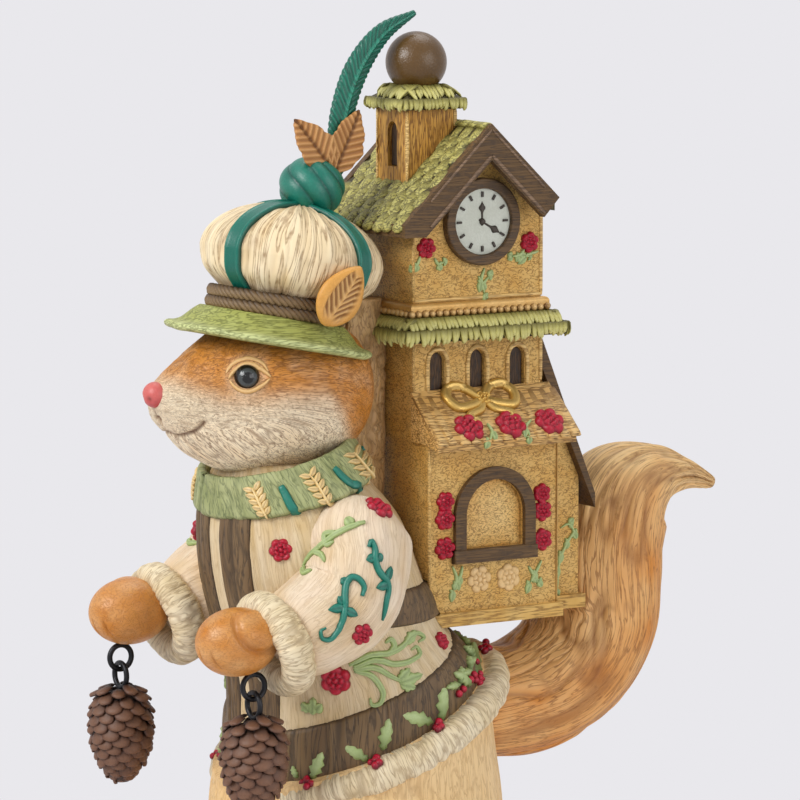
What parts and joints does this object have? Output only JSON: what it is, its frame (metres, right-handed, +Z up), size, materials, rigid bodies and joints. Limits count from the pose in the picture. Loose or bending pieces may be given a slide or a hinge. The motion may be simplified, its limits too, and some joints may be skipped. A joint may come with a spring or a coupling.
{
  "type": "squirrel figurine",
  "caption": "Standing squirrel figurine in a coat and plumed hat, with a clock house on its back and a pine cone swinging from each paw.",
  "frame": {"origin": "on the floor under the axis of the body, on the underside of the base felt", "axes": "+Z up, the squirrel faces -Y, its left side is +X"},
  "size_m": [0.13, 0.2733, 0.3821],
  "materials": {
    "felt": "short black-brown felt",
    "body_fur": "cast resin, combed fur relief, tan",
    "trim_fur": "cast resin, shaggy trim relief, cream",
    "band_brown": "cast resin, dark brown with rubbed edges",
    "coat_cream": "cast resin, cream with brown wash",
    "paw_fur": "cast resin, orange brown",
    "eye_wire": "blackened steel wire",
    "cone": "cast resin, brown scales with pale edges",
    "scarf": "cast resin, green with gold and teal ornament",
    "head_fur": "cast resin, orange brown to cream, combed",
    "eye": "gloss varnish, dark slate",
    "nose": "satin pink",
    "ear": "cast resin, orange tan",
    "hat_green": "cast resin, yellow green",
    "rope": "cast resin, twisted rope, dark brown",
    "hat_cream": "cast resin, gathered cloth relief, cream",
    "teal": "satin teal",
    "plume": "cast resin, feather relief, deep teal",
    "leaf_brown": "cast resin, autumn leaf",
    "tail_fur": "cast resin, long combed hair, orange to cream",
    "house_wall": "cast resin, golden tan with dark stipple",
    "house_wood": "cast resin, dark wood grain",
    "shingle": "cast resin, green shingles",
    "fringe": "cast resin, green fringe",
    "bead": "copper-gold beads",
    "clock_rim": "cast resin, brown",
    "clock_dial": "satin pale grey",
    "clock_ink": "dark brown paint",
    "ball": "cast resin, brown",
    "rose": "crimson paint",
    "gold": "metallic gold paint"
  },
  "bodies": {
    "figure": {"back_bay": "house_wall", "back_bay_roof": "house_wood", "barge_boards": "house_wood", "base_felt": "felt", "bead_course": "bead", "clock_bezels": "clock_rim", "clock_dials": "clock_dial", "clock_hands": "clock_ink", "coat_body": "coat_cream", "coat_front_bands": "band_brown", "cupola": "house_wall", "cupola_roof": "fringe", "finial_ball": "ball", "fringe_roof": "fringe", "gold_bows": "gold", "hat_brim": "hat_green", "hat_crown": "hat_cream", "hat_knot": "teal", "hat_leaves": "leaf_brown", "hat_ribbons": "teal", "hat_rope_band": "rope", "head": "head_fur", "hem_band": "band_brown", "hem_fur_trim": "trim_fur", "hour_marks": "clock_ink", "house_ledge": "house_wall", "house_roses": "rose", "left_apron_roof": "house_wall", "left_cuff": "trim_fur", "left_ear": "ear", "left_eye": "eye", "left_foot": "paw_fur", "left_paw": "paw_fur", "left_paw_eye": "eye_wire", "left_sleeve": "coat_cream", "lower_body": "body_fur", "lower_storey": "house_wall", "main_roof": "shingle", "mid_storey": "house_wall", "nose": "nose", "plume": "plume", "right_apron_roof": "house_wall", "right_cuff": "trim_fur", "right_ear": "ear", "right_eye": "eye", "right_foot": "paw_fur", "right_paw": "paw_fur", "right_paw_eye": "eye_wire", "right_sleeve": "coat_cream", "scarf_collar": "scarf", "tail": "tail_fur", "upper_storey": "house_wall", "waist_strap": "band_brown", "window_frames": "house_wood"},
    "left_cone_body": {"left_cone": "cone", "left_cone_eye": "eye_wire"},
    "right_cone_body": {"right_cone": "cone", "right_cone_eye": "eye_wire"}
  },
  "joints": [
    {"name": "left_cone_swing", "type": "hinge", "parent": "figure", "child": "left_cone_body", "pos_m": [0.043, -0.0725, 0.1193], "axis": [0, 1, 0], "range_deg": [-40, 40]},
    {"name": "right_cone_swing", "type": "hinge", "parent": "figure", "child": "right_cone_body", "pos_m": [-0.043, -0.084, 0.1193], "axis": [0, 1, 0], "range_deg": [-40, 40]}
  ]
}
